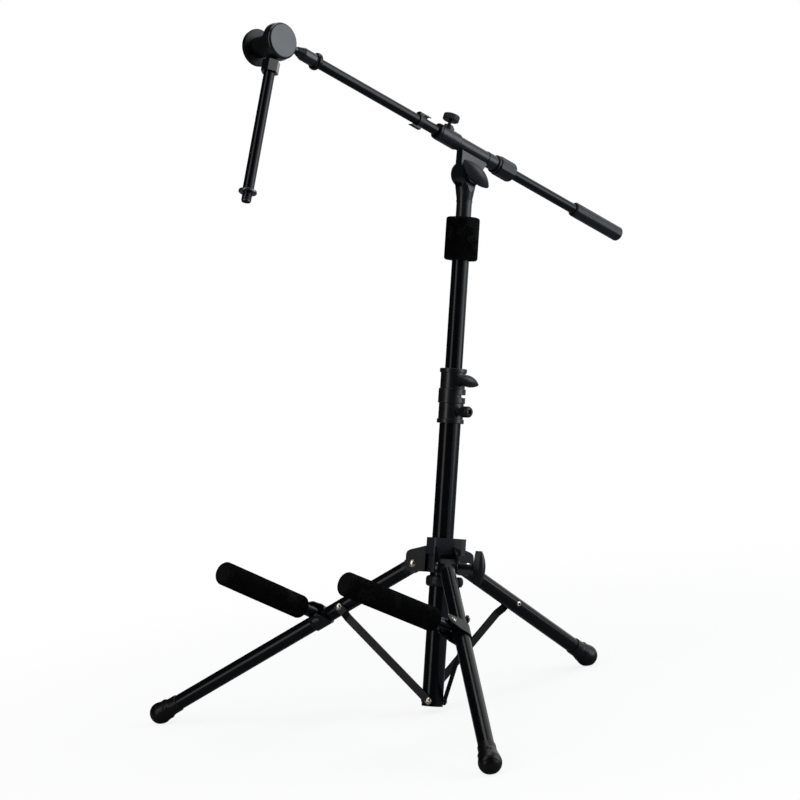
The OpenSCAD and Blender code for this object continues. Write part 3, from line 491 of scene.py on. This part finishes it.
# %% Shared effects: grain, handling and foam cells
surface_grain, grain_in, grain_out = effect_group("surface_grain", [("Scale", 1500.0)], ["Height", "Tone"])
fine = noise(surface_grain, grain_in.outputs["Vector"], grain_in.outputs["Scale"], 3.0, 0.55)
broad = noise(surface_grain, grain_in.outputs["Vector"], 60.0, 2.0)
surface_grain.links.new(fine, grain_out.inputs["Height"])
surface_grain.links.new(math_node(surface_grain, "MULTIPLY", fine, broad), grain_out.inputs["Tone"])

handling, hand_in, hand_out = effect_group("handling_marks", [("Scale", 40.0)], ["Rub", "Dust"])
clouds = noise(handling, hand_in.outputs["Vector"], hand_in.outputs["Scale"], 4.0, 0.6)
specks = handling.nodes.new("ShaderNodeTexVoronoi")
specks.inputs["Scale"].default_value = 420.0
handling.links.new(hand_in.outputs["Vector"], specks.inputs["Vector"])
handling.links.new(remap(handling, clouds, 0.35, 0.7), hand_out.inputs["Rub"])
handling.links.new(remap(handling, specks.outputs["Distance"], 0.16, 0.05), hand_out.inputs["Dust"])

foam_cells, cell_in, cell_out = effect_group("foam_cells", [("Scale", 900.0)], ["Height", "Shade"])
cells = foam_cells.nodes.new("ShaderNodeTexVoronoi")
foam_cells.links.new(cell_in.outputs["Vector"], cells.inputs["Vector"])
foam_cells.links.new(cell_in.outputs["Scale"], cells.inputs["Scale"])
crumbs = noise(foam_cells, cell_in.outputs["Vector"], 2600.0, 2.0, 0.7)
pitted = math_node(foam_cells, "ADD", cells.outputs["Distance"], math_node(foam_cells, "MULTIPLY", crumbs, 0.6))
foam_cells.links.new(pitted, cell_out.inputs["Height"])
# Shade is dark in the pits and pale on the ridges; the foam paints shade and highlight with it and sets its
# roughness from it.
foam_cells.links.new(remap(foam_cells, pitted, 0.2, 1.1), cell_out.inputs["Shade"])
print("shared effects:", [group.name for group in bpy.data.node_groups])

# %% [markdown]
# ## Finishes
# A finish is one Principled shader with its own constants, and the shared effects vary its colour,
# roughness and bump. A helper wires them, so that a cell reads as a list of what the surface is like.

# %% Finishes: the wiring
def mix_colour(tree, mask, first, second):
    node = tree.nodes.new("ShaderNodeMix")
    node.data_type = "RGBA"
    for socket, colour in ((node.inputs[6], first), (node.inputs[7], second)):
        if isinstance(colour, tuple):
            socket.default_value = (*colour, 1)
        else:
            tree.links.new(colour, socket)
    tree.links.new(mask, node.inputs[0])
    return node.outputs[2]


def new_finish(name):
    material = bpy.data.materials.new(name)
    material.use_nodes = True
    tree = material.node_tree
    shader = tree.nodes["Principled BSDF"]
    place = tree.nodes.new("ShaderNodeTexCoord").outputs["Object"]
    return material, tree, shader, place


def use_effect(tree, group, place, **values):
    node = tree.nodes.new("ShaderNodeGroup")
    node.node_tree = group
    tree.links.new(place, node.inputs["Vector"])
    for label, value in values.items():
        node.inputs[label].default_value = value
    return node


def bump(tree, shader, height, strength, distance):
    node = tree.nodes.new("ShaderNodeBump")
    node.inputs["Strength"].default_value = strength
    node.inputs["Distance"].default_value = distance
    tree.links.new(height, node.inputs["Height"])
    tree.links.new(node.outputs["Normal"], shader.inputs["Normal"])


print("finish wiring ready")

# %% [markdown]
# Everything on this stand is black, and it is the shine that tells the parts apart. So most finishes share a
# recipe: two near blacks mixed by the grain, a roughness that wanders where hands have been, a little dust,
# and a bump at the grain's own scale. Only the numbers differ.

# %% Finishes: the black family
DUST_COLOUR = (0.32, 0.31, 0.29)


def black_finish(name, dark, light, rough, rough_spread, grain, depth, shine, dust=0.0):
    material, tree, shader, place = new_finish(name)
    grit = use_effect(tree, surface_grain, place, Scale=grain)
    marks = use_effect(tree, handling, place)
    colour = mix_colour(tree, grit.outputs["Tone"], dark, light)
    if dust:
        speck = math_node(tree, "MULTIPLY", marks.outputs["Dust"], dust)
        colour = mix_colour(tree, speck, colour, DUST_COLOUR)
    tree.links.new(colour, shader.inputs["Base Color"])
    wander = remap(tree, marks.outputs["Rub"], 0.0, 1.0, rough - rough_spread, rough + rough_spread)
    tree.links.new(wander, shader.inputs["Roughness"])
    shader.inputs["Specular IOR Level"].default_value = shine
    bump(tree, shader, grit.outputs["Height"], strength=0.35, distance=depth)
    return material


finishes = {
    "tube": black_finish("gloss_powder_coat", (0.0014, 0.0016, 0.0022), (0.004, 0.0044, 0.0056),
                         rough=0.18, rough_spread=0.03, grain=450.0, depth=0.000008, shine=0.16, dust=0.02),
    "casting": black_finish("satin_cast_metal", (0.003, 0.0034, 0.0043), (0.010, 0.011, 0.0135),
                            rough=0.32, rough_spread=0.05, grain=1600.0, depth=0.00003, shine=0.32, dust=0.02),
    "sheet": black_finish("pressed_sheet_paint", (0.002, 0.0023, 0.0028), (0.006, 0.0066, 0.008),
                          rough=0.32, rough_spread=0.05, grain=1100.0, depth=0.00002, shine=0.14, dust=0.02),
    "plastic": black_finish("moulded_plastic", (0.003, 0.0033, 0.004), (0.009, 0.0098, 0.012),
                            rough=0.40, rough_spread=0.06, grain=2200.0, depth=0.00004, shine=0.25, dust=0.02),
    "rubber": black_finish("foot_rubber", (0.0015, 0.0015, 0.0017), (0.005, 0.005, 0.0054),
                           rough=0.36, rough_spread=0.07, grain=1300.0, depth=0.00004, shine=0.2, dust=0.03),
    "nylon": black_finish("bearing_nylon", (0.030, 0.031, 0.034), (0.055, 0.056, 0.060),
                          rough=0.42, rough_spread=0.05, grain=1400.0, depth=0.00006, shine=0.5),
    "slate": black_finish("slate_disc_paint", (0.003, 0.0034, 0.0043), (0.009, 0.010, 0.0125),
                          rough=0.24, rough_spread=0.03, grain=1700.0, depth=0.00002, shine=0.36, dust=0.02),
    "polish": black_finish("polished_black_block", (0.002, 0.0022, 0.003), (0.006, 0.0065, 0.008),
                           rough=0.12, rough_spread=0.02, grain=900.0, depth=0.000008, shine=1.0, dust=0.02),
    # A darker copy of the knob plastic: painted shade on the swivel's far disc, which is black plastic as well.
    "shade": black_finish("painted_shade_knob_plastic", (0.0012, 0.0013, 0.0016), (0.0035, 0.0037, 0.0045),
                          rough=0.42, rough_spread=0.05, grain=2200.0, depth=0.00004, shine=0.2, dust=0.02),
    "satin": black_finish("satin_moulding", (0.008, 0.0088, 0.011), (0.018, 0.0196, 0.024),
                          rough=0.44, rough_spread=0.06, grain=1900.0, depth=0.00004, shine=0.26, dust=0.02),
}
print("black finishes:", [material.name for material in finishes.values()])

# %% [markdown]
# The screws and rivets are the only bright points. They are plated, so metallic is full, and fine turning
# marks and a warm tarnish keep them from looking like mirrors. The blackened stud is steel with a thin oxide.

# %% Finishes: plated and blackened steel
def metal_finish(name, bright, tarnish, rough, grain):
    material, tree, shader, place = new_finish(name)
    grit = use_effect(tree, surface_grain, place, Scale=grain)
    marks = use_effect(tree, handling, place, Scale=260.0)
    tree.links.new(mix_colour(tree, marks.outputs["Rub"], bright, tarnish), shader.inputs["Base Color"])
    wander = remap(tree, grit.outputs["Height"], 0.2, 0.8, rough - 0.08, rough + 0.10)
    tree.links.new(wander, shader.inputs["Roughness"])
    shader.inputs["Metallic"].default_value = 1.0
    bump(tree, shader, grit.outputs["Height"], strength=0.3, distance=0.00004)
    return material


finishes["fixing"] = metal_finish(
    "plated_fixing", (0.78, 0.74, 0.66), (0.52, 0.47, 0.40), rough=0.26, grain=2600.0)
finishes["dull_fixing"] = metal_finish(
    "dull_zinc_fixing", (0.30, 0.29, 0.27), (0.16, 0.155, 0.15), rough=0.34, grain=2600.0)
finishes["stud"] = metal_finish(
    "blackened_steel", (0.10, 0.10, 0.105), (0.055, 0.055, 0.06), rough=0.34, grain=2000.0)
print("metals:", finishes["fixing"].name, finishes["stud"].name)

# %% [markdown]
# Foam hardly reflects at all. Light falls into its cells, so the colour is painted darker in the pits, as
# painted shade, and a little greyer on the ridges, as painted highlight. The roughness is nearly full, and
# there is next to no shine.

# %% Finishes: foam
foam_skin, foam_tree, foam_shader, foam_at = new_finish("open_cell_foam")
cell_look = use_effect(foam_tree, foam_cells, foam_at, Scale=750.0)
foam_marks = use_effect(foam_tree, handling, foam_at, Scale=55.0)
# Painted shade in the cell pits and painted highlight on the ridges, from the cells' Shade output.
pit_colour = mix_colour(
    foam_tree, cell_look.outputs["Shade"], (0.0008, 0.0008, 0.0009), (0.0042, 0.0042, 0.0046))
foam_tree.links.new(
    mix_colour(foam_tree, math_node(foam_tree, "MULTIPLY", foam_marks.outputs["Rub"], 0.25), pit_colour,
               (0.006, 0.0059, 0.0059)), foam_shader.inputs["Base Color"])
foam_rough = remap(foam_tree, cell_look.outputs["Shade"], 0.0, 1.0, 0.98, 0.86)
foam_tree.links.new(foam_rough, foam_shader.inputs["Roughness"])
foam_shader.inputs["Specular IOR Level"].default_value = 0.06
bump(foam_tree, foam_shader, cell_look.outputs["Height"], strength=0.9, distance=0.0006)
finishes["foam"] = foam_skin
print("foam:", foam_skin.name)

# %% [markdown]
# ## Painting the pieces
# Each solid gets one finish, mostly that of its slot in the part's own list. A few pieces differ from their
# neighbours in the photograph and get a finish of their own: the near disc of the swivel is slate grey, its
# far disc gets a darker copy of the knob plastic as painted shade, the hexagon block below is polished, the
# hub and the clutch's wing are a little paler, and the arms' bolts are duller than the other screws.

# %% Painting the pieces
SLOTS = {
    "tube": ["lower_mast_tube", "upper_mast_tube", "leg_tube_left", "leg_tube_right", "leg_tube_rear",
             "arm_tube_left", "arm_tube_right", "boom_tube", "drop_tube", "boom_end_stud"],
    "casting": ["height_collar", "boom_yoke", "boom_clutch"],
    "satin": ["leg_hub", "clutch_wing_knob"],
    "polish": ["drop_knuckle"],
    # The far disc takes the painted shade copy of the knob plastic.
    "shade": ["swivel_tension_knob"],
    "slate": ["swivel_body"],
    "sheet": ["leg_brackets", "leg_strut_left", "leg_strut_right", "leg_strut_rear",
              "arm_clamp_left", "arm_clamp_right"],
    "fixing": ["strut_screws", "leg_pivot_pins", "strut_rivet_left", "strut_rivet_right", "strut_rivet_rear",
               "clutch_bolt", "swivel_axle"],
    "dull_fixing": ["arm_pivot_bolt_left", "arm_pivot_bolt_right"],
    "plastic": ["mast_end_plug", "stop_ring", "stop_ring_screw", "height_wing_knob", "collar_lock_knob",
                "hub_clamp_knob", "leg_knuckle_left", "leg_knuckle_right", "leg_knuckle_rear",
                "boom_front_bush", "boom_nut_ring", "boom_lock_nut", "boom_thumbscrew",
                "boom_grip", "cable_clip"],
    "nylon": ["collar_bushing", "guide_bush", "clutch_washers", "swivel_washers", "boom_collet"],
    "rubber": ["foot_cap_left", "foot_cap_right", "foot_cap_rear"],
    "foam": ["arm_foam_left", "arm_foam_right", "mast_foam"],
    "stud": ["drop_thread_stud"],
}


def paint(piece, finish):
    piece.data.materials.clear()
    piece.data.materials.append(finishes[finish])


for finish, names in SLOTS.items():
    for name in names:
        paint(nodes[name], finish)
for sleeve in foams.values():
    paint(sleeve, "foam")
for rivet in rivets:
    paint(rivet, "fixing")
paint(mic_stud, "stud")
paint(clamp_turns, "stud")
bare = [name for name in nodes if not any(name in names for names in SLOTS.values())]
print("painted:", sum(len(names) for names in SLOTS.values()), "left bare:", bare)

# %% [markdown]
# ## Floor and backdrop
# The photograph stands on plain white without a horizon. A white floor under lamps alone would turn grey
# towards the back, so what the camera sees of it is mostly white light of strength 1, mixed with lit white
# paint near the object, which keeps the shadow. Mirrors see the same white, except where the curtain and
# carpet of the last light cell hide it.

# %% Floor
def looking_rays(tree):
    """1 for the rays of the camera, of mirrors and of clear pieces, and 0 for those that carry light."""
    rays = tree.nodes.new("ShaderNodeLightPath")
    mirrored = math_node(tree, "MAXIMUM", rays.outputs["Is Glossy Ray"], rays.outputs["Is Transmission Ray"])
    return math_node(tree, "MAXIMUM", rays.outputs["Is Camera Ray"], mirrored)


FLOOR_RADIUS = 9.0
FLOOR_RIM = 6.5
FLOOR_DROP = 0.0005
SHADOW_FULL = 0.45
SHADOW_NONE = 1.3
SHADOW_SHARE = 0.15
clear_selection()
bpy.ops.mesh.primitive_circle_add(
    vertices=96, radius=FLOOR_RADIUS, fill_type="NGON", location=(0, 0, -FLOOR_DROP))
floor = bpy.context.object
floor.name = "studio_floor"
bpy.ops.object.mode_set(mode="EDIT")
bpy.ops.mesh.inset(thickness=FLOOR_RIM)
bpy.ops.object.mode_set(mode="OBJECT")
bpy.ops.object.transform_apply(location=True, rotation=True, scale=True)
floor_paint = bpy.data.materials.new("white_floor")
floor_paint.use_nodes = True
tree = floor_paint.node_tree
tree.nodes.remove(tree.nodes["Principled BSDF"])
lit = tree.nodes.new("ShaderNodeBsdfDiffuse")
lit.inputs["Color"].default_value = (0.8, 0.8, 0.8, 1)
white = tree.nodes.new("ShaderNodeEmission")
white.inputs["Color"].default_value = (1, 1, 1, 1)
white.inputs["Strength"].default_value = 1.0
reach = tree.nodes.new("ShaderNodeVectorMath")
reach.operation = "LENGTH"
tree.links.new(tree.nodes.new("ShaderNodeTexCoord").outputs["Object"], reach.inputs[0])
near = remap(tree, reach.outputs["Value"], SHADOW_FULL, SHADOW_NONE, SHADOW_SHARE, 0.0)
seen = looking_rays(tree)
glow = math_node(tree, "MULTIPLY", seen, math_node(tree, "SUBTRACT", 1.0, near))
blend = tree.nodes.new("ShaderNodeMixShader")
tree.links.new(glow, blend.inputs[0])
tree.links.new(lit.outputs[0], blend.inputs[1])
tree.links.new(white.outputs[0], blend.inputs[2])
tree.links.new(blend.outputs[0], tree.nodes["Material Output"].inputs["Surface"])
floor.data.materials.append(floor_paint)
print("floor across:", round(floor.dimensions.x, 2), "m")

# %% World
world = bpy.data.worlds.new("studio")
bpy.context.scene.world = world
world.use_nodes = True
tree = world.node_tree
air = tree.nodes["Background"]
air.inputs["Color"].default_value = (0.90, 0.95, 1.0, 1)
air.inputs["Strength"].default_value = 0.35
backdrop = tree.nodes.new("ShaderNodeBackground")
backdrop.inputs["Color"].default_value = (1, 1, 1, 1)
backdrop.inputs["Strength"].default_value = 1.0
seen = looking_rays(tree)
blend = tree.nodes.new("ShaderNodeMixShader")
tree.links.new(seen, blend.inputs[0])
tree.links.new(air.outputs[0], blend.inputs[1])
tree.links.new(backdrop.outputs[0], blend.inputs[2])
tree.links.new(blend.outputs[0], tree.nodes["World Output"].inputs["Surface"])
print("world:", world.name)

# %% [markdown]
# ## Camera
# The stand was photographed from its right front with a long lens, from about the height of its top.
# The camera's place was found by fitting the tubes' ends to the picture, and is written in the mast's own
# frame, because the mast is what was fitted. Its four vectors become one matrix.

# %% Camera
camera_at = Vector((4.3353, -3.7748, 0.3413))
camera_right = Vector((0.6455, 0.7611, 0.0641))
camera_up = Vector((-0.0207, -0.0665, 0.9976))
camera_back = -Vector((-0.7635, 0.6453, 0.0271))
facing = Matrix((camera_right.normalized(), camera_up.normalized(), camera_back.normalized())).transposed()
lens = bpy.data.cameras.new("photo_camera")
lens.sensor_fit = "HORIZONTAL"
lens.sensor_width = 36.0
lens.lens = 157.5
lens.clip_end = 100.0
camera = bpy.data.objects.new("photo_camera", lens)
bpy.context.collection.objects.link(camera)
camera.matrix_world = mast_place @ Matrix.Translation(camera_at) @ facing.to_4x4()
bpy.context.scene.camera = camera
print("camera at:", [round(v, 3) for v in camera.matrix_world.translation])

# %% [markdown]
# ## Light
# Black gloss shows its lamps more than its colour. The photograph has a broad cool streak on the right of
# every tube and a narrow one on the left, so a large soft lamp stands to the right of the camera and a tall
# narrow one to the left. A third hangs above. They are placed from the camera's own directions, at a plain
# level.

# %% Light
aim = Vector((0.0, -0.05, 0.5))
to_right = camera.matrix_world.to_3x3() @ Vector((1, 0, 0))
to_right.z = 0
to_right.normalize()
to_front = camera.matrix_world.translation - aim
to_front.z = 0
to_front.normalize()


def soft_lamp(name, side, front, height, width, tall, power, colour):
    light = bpy.data.lights.new(name, "AREA")
    light.shape = "RECTANGLE"
    light.size = width
    light.size_y = tall
    light.energy = power
    light.color = colour
    lamp = bpy.data.objects.new(name, light)
    bpy.context.collection.objects.link(lamp)
    spot = aim + to_right * side + to_front * front + Vector((0, 0, height))
    lamp.matrix_world = Matrix.Translation(spot) @ (aim - spot).to_track_quat("-Z", "Y").to_matrix().to_4x4()
    return lamp


lamps = [
    soft_lamp("broad_right", side=2.4, front=0.35, height=0.6,
              width=1.5, tall=2.4, power=50, colour=(0.86, 0.93, 1.0)),
    soft_lamp("strip_left", side=-1.8, front=1.6, height=1.3,
              width=0.95, tall=3.6, power=34, colour=(1.0, 0.99, 0.97)),
    soft_lamp("top", side=0.2, front=-0.3, height=2.6,
              width=1.8, tall=1.8, power=30, colour=(1.0, 1.0, 1.0)),
]
bpy.context.scene.view_settings.view_transform = "Standard"
print("lamps:", [lamp.name for lamp in lamps])

# %% [markdown]
# A photographer keeps black gloss black by hanging a dark curtain where the tubes would mirror the white
# room. This one stands round the front and the left and hangs over the stand, with a grey carpet below, and is
# open to the right and the back. It is a cylinder with the open faces deleted, and only reflections see it: it
# casts no shadow and the camera looks through it.

# %% Light: the dark curtain
CURTAIN_RADIUS = 3.4
CURTAIN_HEIGHT = 4.4
CARPET_RISE = 0.0015
OPEN_FROM = 42
OPEN_TO = 190
clear_selection()
bpy.ops.mesh.primitive_cylinder_add(
    vertices=72, radius=CURTAIN_RADIUS, depth=CURTAIN_HEIGHT, end_fill_type="NGON",
    location=(aim.x, aim.y, CURTAIN_HEIGHT / 2 + CARPET_RISE))
curtain = bpy.context.object
curtain.name = "dark_curtain"
bpy.ops.object.transform_apply(location=True, rotation=True, scale=True)


def round_from_camera(point):
    """Degrees round the stand from the camera's side, counted towards its right."""
    out = point - aim
    return math.degrees(math.atan2(out.dot(to_right), out.dot(to_front))) % 360


bpy.ops.object.mode_set(mode="EDIT")
pick_faces(lambda middle, normal: abs(normal.z) < 0.5 and OPEN_FROM < round_from_camera(middle) < OPEN_TO)
bpy.ops.mesh.delete(type="FACE")
bpy.ops.object.mode_set(mode="OBJECT")
for cloth_name, grey in (("dark_curtain_cloth", 0.004), ("dark_carpet_cloth", 0.2)):
    cloth = bpy.data.materials.new(cloth_name)
    cloth.use_nodes = True
    cloth.node_tree.nodes["Principled BSDF"].inputs["Base Color"].default_value = (grey, grey, grey * 1.1, 1)
    cloth.node_tree.nodes["Principled BSDF"].inputs["Roughness"].default_value = 1.0
    curtain.data.materials.append(cloth)
for face in curtain.data.polygons:
    face.material_index = 1 if face.center.z < 2 * CARPET_RISE else 0
curtain.visible_camera = False
curtain.visible_diffuse = False
curtain.visible_shadow = False
curtain.visible_transmission = False
print("curtain faces:", len(curtain.data.polygons))
